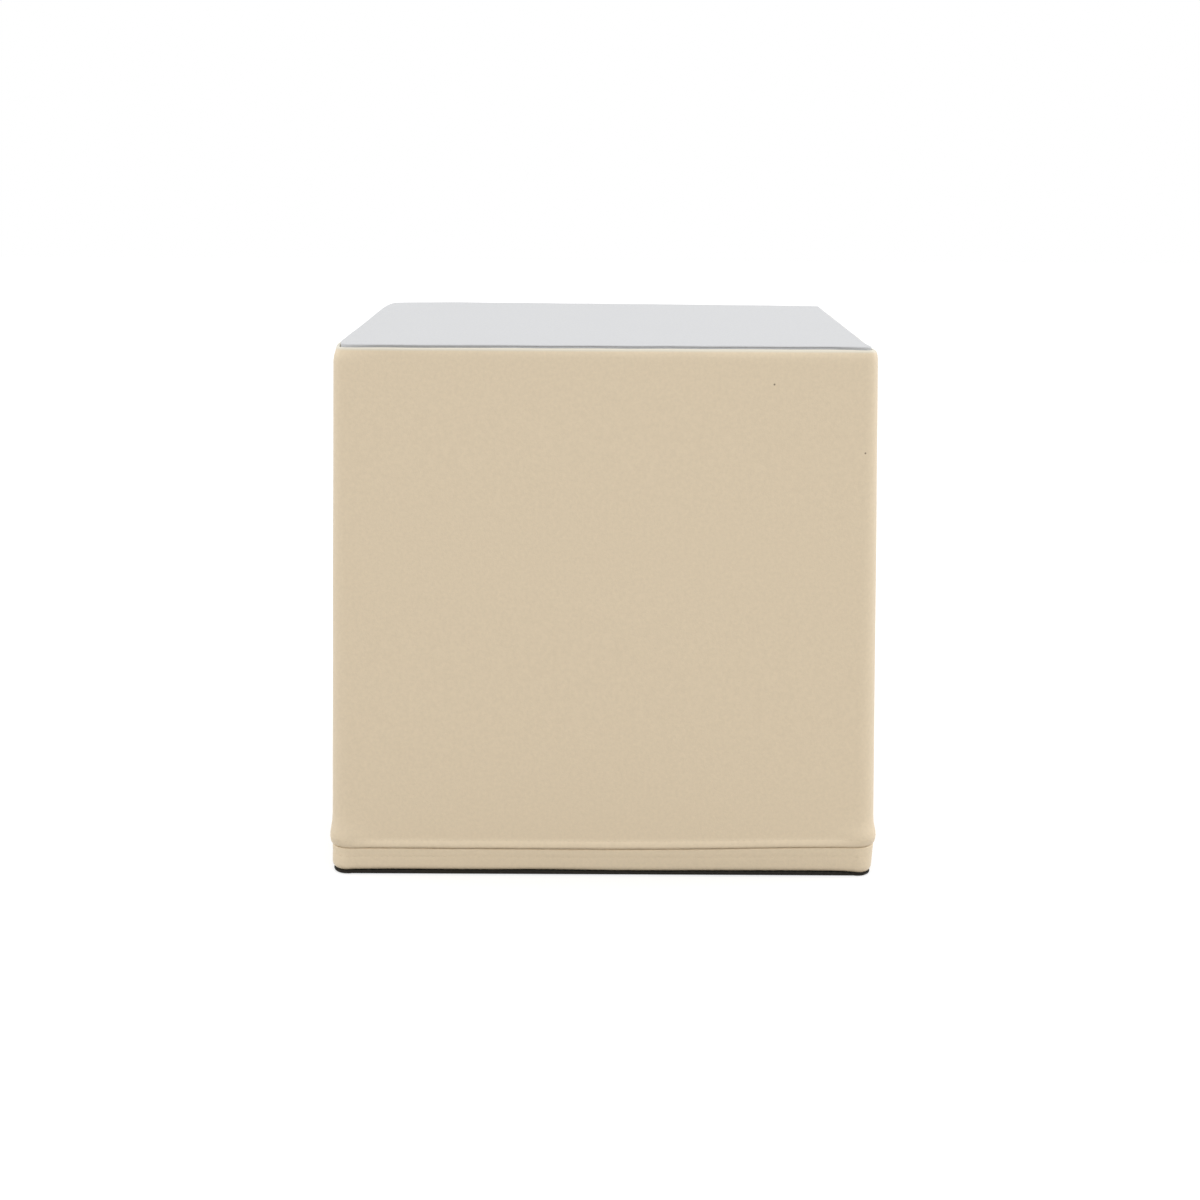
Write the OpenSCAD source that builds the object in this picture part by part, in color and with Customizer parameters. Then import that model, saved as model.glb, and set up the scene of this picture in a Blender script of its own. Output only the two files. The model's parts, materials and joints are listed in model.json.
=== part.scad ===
// Foam play cube: a solid foam block in a sewn leatherette cover.
// The cover is a grey top panel, one beige wrap round the four sides, a narrow beige band
// under a concealed zip, and a dark anti-slip base. Every edge of the cover is drawn as it is
// sewn: turned in, folded back and lying against the next layer.
// Origin at the middle of the base, +Z up, the front faces -Y.

/* [Block] */
// Width across the covered block, left to right
cube_w = 300; // [200:5:500]
// Depth across the covered block, front to back
cube_d = 300; // [200:5:500]
// Height of the covered block
cube_h = 300; // [150:2:500]
// Radius of the four upright edges
corner_r = 8; // [7:0.5:30]

/* [Cover cloth] */
// Thickness of the leatherette
cover_t = 0.9; // [0.6:0.05:1]
// Thickness of the anti-slip base cloth
base_t = 1; // [0.6:0.1:1.5]
// Ease between two layers that lie against each other
layer_ease = 0.1; // [0.05:0.05:0.3]

/* [Top seam] */
// Outer radius of the fold along the top of the wrap
top_fold_r = 1.6; // [1.3:0.1:2]
// Outer radius of the roll along the edge of the top panel
top_roll_r = 1.3; // [1.2:0.1:3]
// How far that roll lies in from the sides
top_roll_inset = 1; // [0.2:0.1:1.2]
// Outer radius where the top panel turns under into the seam
top_under_r = 1.1; // [1:0.1:1.4]
// Inner radius where it turns down behind the wrap's fold
top_bend_r = 0.3; // [0.1:0.1:0.4]
// Depth of the seam allowances that hang inside the top seam
top_allowance = 8; // [4:0.5:15]

/* [Back seam] */
// Radius of the two edges that roll into the wrap's closing seam
back_roll_r = 0.7; // [0.3:0.1:0.8]
// Opening at the bottom of the closing seam
back_slit = 0.2; // [0.1:0.1:0.6]
// Width of each seam allowance pressed open behind the closing seam
back_allowance = 8; // [4:0.5:15]

/* [Zip placket] */
// Height of the zip line above the floor
zip_h = 15; // [13:0.5:40]
// Opening between the two folded edges over the zip
zip_gap = 0.5; // [0.4:0.1:2]
// Outer radius of the hem's lip over the zip line
hem_r = 1.5; // [1.4:0.1:2]
// How far the lip stands out of the side
hem_proud = 1; // [0.3:0.1:1]
// Height of the sewn crease above the zip line, where the hem starts to flare out
hem_rise = 4.7; // [4:0.1:8]
// Depth of the hem turned up behind the wrap
hem_allowance = 8; // [4:0.5:15]
// Depth of the hem turned down behind the lower band
band_allowance = 5; // [2:0.5:6]

/* [Zip] */
// Width of each zip tape
tape_w = 9.5; // [6:0.5:9.5]
// Thickness of the zip tape
tape_t = 0.5; // [0.3:0.1:0.8]
// Width of each row of the coil
coil_row_w = 2; // [1.5:0.1:2.5]
// Thickness of the coil
coil_t = 1.8; // [1.2:0.1:2]
// Opening left between the ends of the zip at the middle of the back
zip_end_gap = 20; // [5:1:60]

/* [Base edge] */
// How far the base's folded edge lies in from the sides
base_inset = 0.9; // [0:0.1:2]
// Opening inside the base's folded edge
base_fold_gap = 0.5; // [0.2:0.1:1]
// Outer radius of the roll along the foot of the lower band
band_roll_r = 2.5; // [1.3:0.1:3]
// Width of the seam allowances that lie flat over the base
base_allowance = 5; // [3:0.5:5]

/* [Hidden] */
$fn = 64;
// How far a cut runs past the face it opens
overrun = 1;

beige = [0.83, 0.765, 0.665];
pale_grey = [0.87, 0.87, 0.88];
near_black = [0.15, 0.14, 0.12];
foam_cream = [0.93, 0.89, 0.76];
tape_beige = [0.74, 0.67, 0.57];

// Top seam: the top panel rolls over the edge, turns under over the wrap's fold and hangs down
// behind it
top_roll_u = top_roll_inset + top_roll_r;
top_roll_z = cube_h - top_roll_r;
top_under_u = top_roll_inset + top_under_r;
top_seam_z = top_roll_z - top_under_r;
top_fold_z = top_seam_z - layer_ease - top_fold_r;
top_fold_depth = 2 * top_fold_r;
top_turn_u = top_fold_depth + layer_ease;
top_bend_u = top_turn_u - top_bend_r;
top_bend_z = top_seam_z - top_bend_r;
top_allowance_z = top_fold_z - top_allowance;
top_stack_u = top_turn_u + cover_t;

// Zip placket: both folded edges are as deep as the hem, so the tapes lie flat behind them
hem_depth = 2 * hem_r - hem_proud;
hem_u = hem_r - hem_proud;
hem_z = zip_h + zip_gap / 2 + hem_r;
hem_crease_z = zip_h + hem_rise;
hem_top_z = hem_z + hem_allowance;
band_fold_r = hem_depth / 2;
band_fold_z = zip_h - zip_gap / 2 - band_fold_r;
tape_u = hem_depth + layer_ease;
coil_u = tape_u + tape_t;
coil_back_u = coil_u + coil_t;
tape_top_z = zip_h + zip_gap / 2 + tape_w;
tape_foot_z = zip_h - zip_gap / 2 - tape_w;

// Base edge: the base folds over itself, the lower band turns in on top of the fold
base_fold_h = 2 * base_t + base_fold_gap;
base_fold_r = base_fold_h / 2;
base_fold_u = base_inset + base_fold_r;
band_foot_z = base_fold_h + layer_ease;
band_roll_z = band_foot_z + band_roll_r;
base_stack_z = band_foot_z + cover_t;
base_stack_u = max(base_fold_u, band_roll_r) + base_allowance;

// Foam: pressed back a little wherever a layer of the cover lies against it
foam_bottom_z = base_t + layer_ease;
foam_foot_z = base_stack_z + layer_ease;
tape_low_z = max(tape_foot_z, foam_foot_z);
foam_zip_z = max(hem_top_z, tape_top_z) + layer_ease;
foam_seam_z = top_seam_z + cover_t + layer_ease;
foam_top_z = cube_h - cover_t - layer_ease;
coil_low_z = zip_h - coil_row_w - layer_ease;
coil_high_z = zip_h + coil_row_w + layer_ease;

// Rounded rectangle, a given distance in from the sides of the block
module block_outline(inset) {
    w = cube_w - 2 * inset;
    d = cube_d - 2 * inset;
    r = max(corner_r - inset, layer_ease);
    square([w - 2 * r, d], center = true);
    square([w, d - 2 * r], center = true);
    for (x = [-1, 1], y = [-1, 1])
        translate([x * (w / 2 - r), y * (d / 2 - r)])
            circle(r);
}

// Slab of that outline between two heights
module block_slab(inset, low, high) {
    translate([0, 0, low])
        linear_extrude(high - low)
            block_outline(inset);
}

// Carries a section round the block. In the section, x runs inwards from the side of the
// block and y runs up from the floor.
module round_the_block() {
    for (side = [0:3]) {
        across = side % 2 == 0 ? cube_d : cube_w;
        along = side % 2 == 0 ? cube_w : cube_d;
        rotate([0, 0, 90 * side])
            translate([0, -across / 2, 0])
                rotate([90, 0, 90])
                    linear_extrude(along - 2 * corner_r, center = true)
                        children();
        rotate([0, 0, 90 * side])
            translate([along / 2 - corner_r, corner_r - across / 2, 0])
                rotate([0, 0, -90])
                    rotate_extrude(angle = 90)
                        corner_section()
                            children();
    }
}

// The section turned to face outwards from the axis of an upright edge
module corner_section() {
    intersection() {
        translate([corner_r, 0])
            mirror([1, 0])
                children();
        translate([0, -overrun])
            square([corner_r + hem_proud + overrun, cube_h + 2 * overrun]);
    }
}

// One layer of cloth in a section, from one height to another
module upright_layer(u, low, high, thickness) {
    translate([u, low])
        square([thickness, high - low]);
}

// One layer of cloth in a section, lying flat
module flat_layer(u, z, width, thickness) {
    translate([u, z])
        square([width, thickness]);
}

// Cloth turning round a fold, cut to the box from low to high about the fold's centre
module fold(u, z, r, thickness, low, high) {
    translate([u, z])
        intersection() {
            difference() {
                circle(r);
                circle(r - thickness);
            }
            translate(low)
                square(high - low);
        }
}

module foam_block() {
    color(foam_cream)
        difference() {
            union() {
                block_slab(base_stack_u + layer_ease, foam_bottom_z, foam_foot_z);
                block_slab(coil_u + layer_ease, foam_foot_z, coil_low_z);
                block_slab(coil_back_u + layer_ease, coil_low_z, coil_high_z);
                block_slab(coil_u + layer_ease, coil_high_z, foam_zip_z);
                block_slab(cover_t + layer_ease, foam_zip_z, top_allowance_z - layer_ease);
                block_slab(top_stack_u + layer_ease, top_allowance_z - layer_ease, foam_seam_z);
                block_slab(top_roll_u, foam_seam_z, foam_top_z);
            }
            // Pressed-in channel behind the closing seam of the wrap
            back_seam_strip(layer_ease);
        }
}

// Both seam allowances of the closing seam, with ease all round
module back_seam_strip(ease) {
    w = 2 * (back_allowance + ease);
    low = hem_top_z + layer_ease - ease;
    high = top_allowance_z - layer_ease + ease;
    translate([-w / 2, cube_d / 2 - 2 * cover_t - ease, low])
        cube([w, cover_t + ease, high - low]);
}

module top_panel() {
    color(pale_grey) {
        block_slab(top_roll_u, cube_h - cover_t, cube_h);
        round_the_block() {
            fold(top_roll_u, top_roll_z, top_roll_r, cover_t,
                [-top_roll_r, 0], [0, top_roll_r]);
            fold(top_under_u, top_roll_z, top_under_r, cover_t,
                [-top_under_r, -top_under_r], [0, 0]);
            flat_layer(top_under_u, top_seam_z, top_bend_u - top_under_u, cover_t);
            fold(top_bend_u, top_bend_z, top_bend_r + cover_t, cover_t,
                [0, 0], (top_bend_r + cover_t) * [1, 1]);
            upright_layer(top_turn_u, top_allowance_z, top_bend_z, cover_t);
        }
    }
}

module wrap_section() {
    upright_layer(0, hem_crease_z, top_fold_z, cover_t);
    fold(top_fold_r, top_fold_z, top_fold_r, cover_t,
        [-top_fold_r, 0], [top_fold_r, top_fold_r]);
    upright_layer(top_fold_depth - cover_t, top_allowance_z, top_fold_z, cover_t);
    hem_flare_section();
    fold(hem_u, hem_z, hem_r, cover_t, [-hem_r, -hem_r], [hem_r, 0]);
    upright_layer(hem_depth - cover_t, hem_z, hem_top_z, cover_t);
}

// The hem where it slants out from its crease to its lip
module hem_flare_section() {
    polygon([
        [0, hem_crease_z],
        [cover_t, hem_crease_z],
        [cover_t - hem_proud, hem_z],
        [-hem_proud, hem_z],
    ]);
}

module side_wrap() {
    color(beige)
        difference() {
            union() {
                round_the_block()
                    wrap_section();
                back_seam_strip(0);
            }
            back_seam_groove();
        }
}

// Valley between the two edges that roll into the closing seam
module back_seam_groove() {
    half = back_roll_r + back_slit / 2;
    translate([0, cube_d / 2, hem_crease_z])
        linear_extrude(top_fold_z - hem_crease_z)
            difference() {
                translate([-half, -back_roll_r])
                    square([2 * half, back_roll_r + overrun]);
                for (side = [-1, 1])
                    translate([side * half, -back_roll_r])
                        circle(back_roll_r);
            }
}

module lower_band() {
    color(beige)
        round_the_block() {
            fold(band_fold_r, band_fold_z, band_fold_r, cover_t,
                [-band_fold_r, 0], [band_fold_r, band_fold_r]);
            upright_layer(hem_depth - cover_t, band_fold_z - band_allowance, band_fold_z, cover_t);
            upright_layer(0, band_roll_z, band_fold_z, cover_t);
            fold(band_roll_r, band_roll_z, band_roll_r, cover_t,
                [-band_roll_r, -band_roll_r], [0, 0]);
            flat_layer(band_roll_r, band_foot_z, base_allowance, cover_t);
        }
}

module base_panel() {
    color(near_black) {
        block_slab(base_fold_u, 0, base_t);
        round_the_block() {
            fold(base_fold_u, base_fold_r, base_fold_r, base_t,
                [-base_fold_r, -base_fold_r], [0, base_fold_r]);
            flat_layer(base_fold_u, base_fold_h - base_t, base_allowance, base_t);
        }
    }
}

// Takes the zip away where its two ends meet at the middle of the back
module zip_ends() {
    difference() {
        children();
        translate([-zip_end_gap / 2, 0, 0])
            cube([zip_end_gap, cube_d, cube_h]);
    }
}

module zip_upper_tape() {
    color(tape_beige)
        zip_ends()
            round_the_block()
                upright_layer(tape_u, zip_h + zip_gap / 2, tape_top_z, tape_t);
}

module zip_lower_tape() {
    color(tape_beige)
        zip_ends()
            round_the_block()
                upright_layer(tape_u, tape_low_z, zip_h - zip_gap / 2, tape_t);
}

// Two rows of coil, meshed along the zip line on the inner side of the tapes
module zip_coil() {
    color(tape_beige)
        zip_ends()
            round_the_block()
                coil_section();
}

module coil_section() {
    half = coil_t / 2;
    run = coil_row_w - half;
    translate([coil_u + half, zip_h]) {
        square([coil_t, 2 * run], center = true);
        for (side = [-1, 1])
            translate([0, side * run])
                circle(half);
    }
}

foam_block();
top_panel();
side_wrap();
lower_band();
base_panel();
zip_upper_tape();
zip_lower_tape();
zip_coil();
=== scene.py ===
"""Foam play cube: a foam block in a sewn leatherette cover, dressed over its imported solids."""

import json
from math import copysign, cos, exp, pi, radians, sin, sqrt
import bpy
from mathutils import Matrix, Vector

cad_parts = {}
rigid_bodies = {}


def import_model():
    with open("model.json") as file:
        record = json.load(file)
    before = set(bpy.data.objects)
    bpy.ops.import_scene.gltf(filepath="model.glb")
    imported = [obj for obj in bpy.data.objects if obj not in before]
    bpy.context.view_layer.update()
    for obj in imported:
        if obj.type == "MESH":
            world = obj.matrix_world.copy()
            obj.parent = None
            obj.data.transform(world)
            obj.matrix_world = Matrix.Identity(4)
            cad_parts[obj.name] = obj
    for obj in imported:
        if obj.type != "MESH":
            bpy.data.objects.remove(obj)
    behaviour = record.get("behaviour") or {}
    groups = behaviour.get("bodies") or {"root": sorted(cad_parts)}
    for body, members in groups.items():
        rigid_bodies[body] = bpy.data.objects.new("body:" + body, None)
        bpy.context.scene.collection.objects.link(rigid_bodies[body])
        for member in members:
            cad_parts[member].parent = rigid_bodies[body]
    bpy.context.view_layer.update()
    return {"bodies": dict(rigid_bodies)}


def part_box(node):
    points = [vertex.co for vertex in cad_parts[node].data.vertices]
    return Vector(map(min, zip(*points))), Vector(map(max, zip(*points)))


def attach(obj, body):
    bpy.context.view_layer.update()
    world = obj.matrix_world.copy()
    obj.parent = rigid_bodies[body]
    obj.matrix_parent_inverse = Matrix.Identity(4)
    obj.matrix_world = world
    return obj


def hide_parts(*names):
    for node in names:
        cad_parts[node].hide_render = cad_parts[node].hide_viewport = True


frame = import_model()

from types import SimpleNamespace

import bmesh
import bpy
from bpy.props import FloatProperty, FloatVectorProperty, IntProperty, PointerProperty
from mathutils import Matrix, Vector, noise

bl_info = {
    "name": "Foam play cube",
    "version": (1, 0, 0),
    "blender": (4, 5, 0),
    "location": "View3D > Sidebar > Play cube",
    "description": "Sews the cover of a foam play cube and sets up its studio",
    "category": "Add Mesh",
}

BODY = next(iter(frame["bodies"]))

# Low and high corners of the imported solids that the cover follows
TOP_LOW, TOP_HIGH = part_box("top_panel")
WRAP_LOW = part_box("side_wrap")[0]
BAND_LOW, BAND_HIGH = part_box("lower_band")
BASE_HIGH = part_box("base_panel")[1]
FOAM_LOW, FOAM_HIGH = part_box("foam_block")

# Modelling: when points are merged, which edges are split, a section's start, and the sharpest
# turn that is shaded smooth
MERGE_DISTANCE = 1e-6
LONG_EDGE = 0.05
START_SIZE = 0.001
SMOOTH_ANGLE = radians(50)

# Points of the sections: distances below the top fold, above the hem's crease and from the band's
# stitches, and shares of the hem's height, the top's turned edge and the back seam's radius
WRAP_DROPS = (0.002, 0.004, 0.007, 0.011, 0.016)
WRAP_RISES = (0.024, 0.018, 0.013, 0.009, 0.006, 0.0035, 0.0015, 0)
BAND_RISES = (0.0016, 0.0009, 0.0004, 0, -0.0004, -0.0009, -0.0016, -0.003, -0.0044)
HEM_SHARES = (0.12, 0.25, 0.4, 0.6, 0.8, 1)
TOP_EDGE_SHARES = (0.4, 0.7, 0.85, 1)
BACK_SEAM_SHARES = (-1, -0.55, -0.2, 0.2, 0.55, 1)

# Soft forms: shares of the pucker and the drift that a place takes
SEAM_PUCKER_SHARE = 0.2
ZIP_PUCKER_SHARE = 0.3
BAND_PUCKER_SHARE = 0.3
WRAP_PUCKER_SHARE = 0.4
TOP_DRIFT_SHARE = 0.5

# Soft forms: how much of the zip's closing is everywhere, and how much a corner adds
ZIP_CLOSE_SHARE = 0.8
ZIP_CORNER_SHARE = 0.6

# Soft forms: how much less the top seam rolls in at a corner, and what the front adds to that
CORNER_FULL_SHARE = 0.5
FRONT_FULL_SHARE = 0.25

# Soft forms: the band's curve towards its foot, its stitch line, the base's sides and the back seam
BAND_TUCK_POWER = 1.3
STITCH_LINE_H = 0.0006
BASE_SIDE_SHARE = 0.8
BACK_FACING_SHARE = 0.99

# Seeds of the unevenness, one for each form that has its own
DRIFT_SEED, MIDDLE_SEED, ZIP_SEED, WRAP_SEED, BASE_SEED, BAND_SEED, SEAM_SEED = 1, 2, 3, 5, 7, 9, 11

# Stitches: sides of the thread, steps along one stitch, and the dip of its ends as a share of the
# thread's thickness
THREAD_SIDES = 6
STITCH_STEPS = 6
STITCH_DIP_SHARE = 1.1

# Specks on the front: from the middle and from the floor, with the share of the radius that is dark
SPECKS = ((0.0927, 0.2793), (0.1434, 0.2415))
SPECK_R = 0.0007
SPECK_CORE_SHARE = 0.4

# Distance from one grip dot of the base cloth to the next
GRIP_PITCH = 0.0035

# Studio: camera sensor in millimetres, the right lamp's place, both lamps' size, and the floor
SENSOR_W = 36
LAMP_X, LAMP_Y, LAMP_Z = 2.1, 0.5, 1.0
LAMP_SIZE = 1.4
FLOOR_SIZE = 12
FLOOR_CUTS = 3
FLOOR_GAP = 0.0002
WHITE = (1, 1, 1, 1)


def display_colour(red, green, blue):
    """Linear colour of a colour given as a screen shows it, from 0 to 255."""
    shares = (red / 255, green / 255, blue / 255)
    return tuple(c / 12.92 if c <= 0.04045 else ((c + 0.055) / 1.055) ** 2.4 for c in shares)


def amount(name, description, default, **limits):
    return FloatProperty(name=name, description=description, default=default, **limits)


def length(name, description, default):
    return amount(name, description, default, min=0.0, precision=5, unit="LENGTH")


def angle(name, description, degrees):
    return amount(name, description, radians(degrees), subtype="ANGLE")


def steps(name, description, default, least):
    return IntProperty(name=name, description=description, default=default, min=least)


def colour(name, description, default):
    return FloatVectorProperty(
        name=name, description=description, default=default, size=3, min=0.0, max=1.0, subtype="COLOR")


class PlayCubeSizes(bpy.types.PropertyGroup):
    """Sizes of the sewn cover, in metres"""

    half_w: length("Half width", "From the middle of the cube to its left or right side", BAND_HIGH.x)
    half_d: length("Half depth", "From the middle of the cube to its front or back", BAND_HIGH.y)
    height: length("Height", "From the floor to the top face", TOP_HIGH.z)
    corner_r: length("Edge radius", "Radius of the four upright edges", 0.008)
    cloth_t: length("Leatherette", "Thickness of the leatherette", 0.0009)
    base_t: length("Base cloth", "Thickness of the anti-slip base cloth", 0.0004)
    top_fold_r: length("Top fold", "Radius of the fold along the top of the wrap", 0.00105)
    top_drop: length("Top drop", "From the top face down to the top of the wrap's fold", 0.0017)
    top_edge_r: length("Top edge", "Radius where the top panel turns down behind that fold", 0.0006)
    top_undercut: length("Top undercut", "How far the seam lies behind the top panel's edge", 0.0005)
    seam_ease: length("Seam ease", "Room between two cloths that are sewn together", 0.0001)
    hem_r: length("Hem lip", "Radius of the lip over the zip line", 0.0015)
    hem_proud: length("Hem stand-out", "How far the hem's lip stands out of the side", 0.001)
    hem_rise: length("Hem rise", "Height of the hem's crease above the zip line", 0.0047)
    hem_allowance: length("Hem allowance", "Cloth turned up behind the hem", 0.008)
    band_roll_r: length("Band roll", "Radius of the roll along the foot of the lower band", 0.0025)
    flat_allowance: length("Flat allowance", "Cloth that lies flat over the base", 0.005)
    foam_gap: length("Foam gap", "From the sides to the foam behind the flat cloth", 0.0014)
    foam_press: length("Foam press", "From the sides to the foam behind the seams", 0.0054)
    foam_top_press: length("Foam top press", "From the sides to the foam's upper edges", 0.0042)
    foam_edge_r: length("Foam edge", "Radius of the foam's upper edges", 0.0008)
    stitch_drop: length("Stitch drop", "From the zip line down to the band's row of stitches", 0.0048)
    stitch_pitch: length("Stitch pitch", "Distance from one stitch to the next", 0.0032)
    stitch_l: length("Stitch length", "Length of the thread that shows in one stitch", 0.0025)
    thread_t: length("Thread", "Thickness of the sewing thread", 0.00034)
    run_steps: steps("Side steps", "Faces along one straight side", 48, least=4)
    face_steps: steps("Face steps", "Faces up one flat side", 44, least=4)
    corner_steps: steps("Corner steps", "Faces round one upright edge", 10, least=2)
    fold_steps: steps("Fold steps", "Faces round half a fold", 10, least=4)


class PlayCubeEase(bpy.types.PropertyGroup):
    """How far the soft cover departs from its drawn section, in metres"""

    spread: length("Spread", "How far the sides lean out towards the foot", 0.0042)
    crown: length("Crown", "How far the middle of a side swells", 0.0003)
    drift: length("Drift", "Slow unevenness of the flat cloth", 0.00025)
    drift_span: length("Drift span", "Size of the slow unevenness", 0.07)
    pucker: length("Pucker", "Unevenness of the rolled edges", 0.0004)
    pucker_span: length("Pucker span", "Length of one pucker along a seam", 0.022)
    lean: amount(
        "Lean", "How unlike the left and right corners are", 0.9, min=0.0, max=1.0, subtype="FACTOR")
    corner_reach: length("Corner reach", "How far a corner's shape runs along the sides", 0.014)
    corner_sag: length("Corner sag", "How far the top seam drops at the corners", 0.0002)
    roll: length("Soft edge", "How far the sides roll in below the top seam", 0.0015)
    roll_h: length("Soft edge height", "Height over which the sides roll in", 0.0045)
    shoulder: length("Shoulder", "How far the top corners draw in", 0.0013)
    shoulder_h: length("Shoulder height", "Height over which the top corners draw in", 0.009)
    slack_sag: length("Slack corner", "How far the slack corner at the back left drops", 0.0003)
    slack_draw: length("Slack draw", "How much more the back left corner of the top draws in", 0.0014)
    slack_reach: length("Slack reach", "How far the slack runs along the edges", 0.038)
    back_rise: length("Back rise", "How far the top's back edge lies above its front edge", 0.0005)
    twist: length("Twist", "How much more the back edge rises to the left", 0.0006)
    hem_bulge: length("Hem bulge", "How far the hem stands out at the corners", 0.0019)
    hem_bulge_z: length("Hem bulge rise", "Height of that bulge above the hem's crease", 0.0006)
    hem_bulge_up: length("Bulge above", "Height over which the bulge fades upwards", 0.0065)
    hem_bulge_down: length("Bulge below", "Height over which the bulge fades downwards", 0.0042)
    hem_reach: length("Hem reach", "How far the bulge runs along the sides", 0.012)
    zip_sag: length("Zip sag", "How far the zip line drops at the corners", 0.0004)
    zip_tilt: length("Zip tilt", "How far the zip line rises towards the right", 0.002)
    zip_close: length("Zip closing", "How far each edge closes over the zip", 0.00015)
    band_tuck: length("Band tuck", "How far the lower band leans in towards its foot", 0.0005)
    stitch_sink: length("Stitch line", "How far the row of stitches draws the band in", 0.0001)
    foot_sag: length("Foot sag", "How far the foot of the band drops at the corners", 0.0005)
    foot_reach: length("Foot reach", "How far that drop runs along the sides", 0.011)
    foot_fill: length("Foot fill", "How squarely the foot fills the upright edges' rounding", 0.004)
    base_out: length("Base stand-out", "How far the base's edge stands out at front and back", 0.0007)
    base_press: length("Base press", "How far the base's folded edge is pressed flat", 0.0003)
    base_wave: length("Base wave", "Unevenness of the base's folded edge", 0.0004)
    base_wave_span: length("Base wave span", "Length of one wave along the base", 0.06)
    foam_ease: length("Foam ease", "Room between the foam and the top", 0.0004)
    seam_r: length("Back seam", "Radius of the edges that roll into the closing seam", 0.0009)


class PlayCubeColours(bpy.types.PropertyGroup):
    """Colours of the cloths and threads, and of the painted highlight along the top fold"""

    beige: colour("Beige", "Leatherette of the sides", display_colour(224, 206, 177))
    # Painted highlight: the pale fold colour stands in for the light caught where the wrap turns over at
    # the top
    fold: colour("Fold highlight", "Beige leatherette bent round the top fold", display_colour(220, 214, 198))
    grey: colour("Pale grey", "Leatherette of the top", display_colour(194, 195, 197))
    near_black: colour("Near black", "Anti-slip cloth of the base", display_colour(34, 31, 25))
    speck: colour("Speck", "Small marks on the front", display_colour(120, 104, 84))
    foam: colour("Foam", "Cut upholstery foam", display_colour(238, 226, 194))
    tape: colour("Zip tape", "Woven tape and coil of the zip", display_colour(188, 170, 144))
    floor: colour("Floor", "Studio floor", (0.45, 0.45, 0.45))


class PlayCubeStudio(bpy.types.PropertyGroup):
    """Camera, lamps and sky"""

    lens: amount("Lens", "Focal length in millimetres", 64.11, min=1.0)
    shift: amount("Shift", "Upright lens shift, as a share of the frame", -0.12)
    camera: FloatVectorProperty(
        name="Camera", description="Place of the camera",
        default=(-0.0009, -1.3155, 0.4120), subtype="TRANSLATION")
    pitch: angle("Pitch", "How far the camera looks down", 8.44)
    yaw: angle("Yaw", "How far the camera turns left", 0.093)
    roll: angle("Roll", "How far the camera leans", 0.318)
    sky: amount("Sky", "Strength of the even light", 1.15, min=0.0)
    left_lamp: amount("Left lamp", "Power of the left lamp", 5.0, min=0.0, unit="POWER")
    right_lamp: amount("Right lamp", "Power of the right lamp", 13.0, min=0.0, unit="POWER")
    floor_glow: amount("Floor glow", "Light that the floor adds where it is looked at", 0.62, min=0.0)


def clamp(value, limit):
    return max(-limit, min(limit, value))


def share_between(value, low, high):
    """How far a value has come from low to high, from 0 to 1."""
    return max(0.0, min(1.0, (value - low) / (high - low)))


def ramp(value, low, high):
    """Smooth step from 0 at low to 1 at high."""
    share = share_between(value, low, high)
    return share * share * (3 - 2 * share)


def hump(value, middle, spread):
    """Bell of height 1 about the middle."""
    return exp(-(((value - middle) / spread) ** 2))


def layout(s):
    """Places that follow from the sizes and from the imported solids."""
    p = SimpleNamespace()
    p.run_w = 2 * (s.half_w - s.corner_r)
    p.run_d = 2 * (s.half_d - s.corner_r)
    p.around = 2 * (p.run_w + p.run_d) + 2 * pi * s.corner_r
    p.wrap_top_z = s.height - s.top_drop
    p.top_fold_z = p.wrap_top_z - s.top_fold_r
    p.top_allowance_z = TOP_LOW.z
    p.top_edge_u = 2 * s.top_fold_r + s.seam_ease
    p.top_edge_z = s.height - s.top_edge_r
    p.top_flat_u = p.top_edge_u + s.top_edge_r
    p.zip_z = (WRAP_LOW.z + BAND_HIGH.z) / 2
    p.crease_z = p.zip_z + s.hem_rise
    p.hem_u = s.hem_r - s.hem_proud
    p.hem_z = WRAP_LOW.z + s.hem_r
    p.hem_depth = p.hem_u + s.hem_r
    p.band_fold_r = p.hem_depth / 2
    p.band_fold_z = BAND_HIGH.z - p.band_fold_r
    p.band_roll_z = BAND_LOW.z + s.band_roll_r
    p.band_hem_z = p.band_roll_z + s.band_roll_r
    p.stitch_z = p.zip_z - s.stitch_drop
    p.base_fold_r = BASE_HIGH.z / 2
    p.base_fold_u = s.half_w - BASE_HIGH.x + p.base_fold_r
    return p


def clear_selection():
    if bpy.context.object and bpy.context.object.mode != "OBJECT":
        bpy.ops.object.mode_set(mode="OBJECT")
    bpy.ops.object.select_all(action="DESELECT")


def name_piece(piece, name):
    piece.name = name
    piece.data.name = name


def section_point(s, u, z):
    """Point of a section that is drawn at the left end of the front: u runs inwards, z up."""
    return Vector((s.corner_r - s.half_w, u - s.half_d, z))


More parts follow.
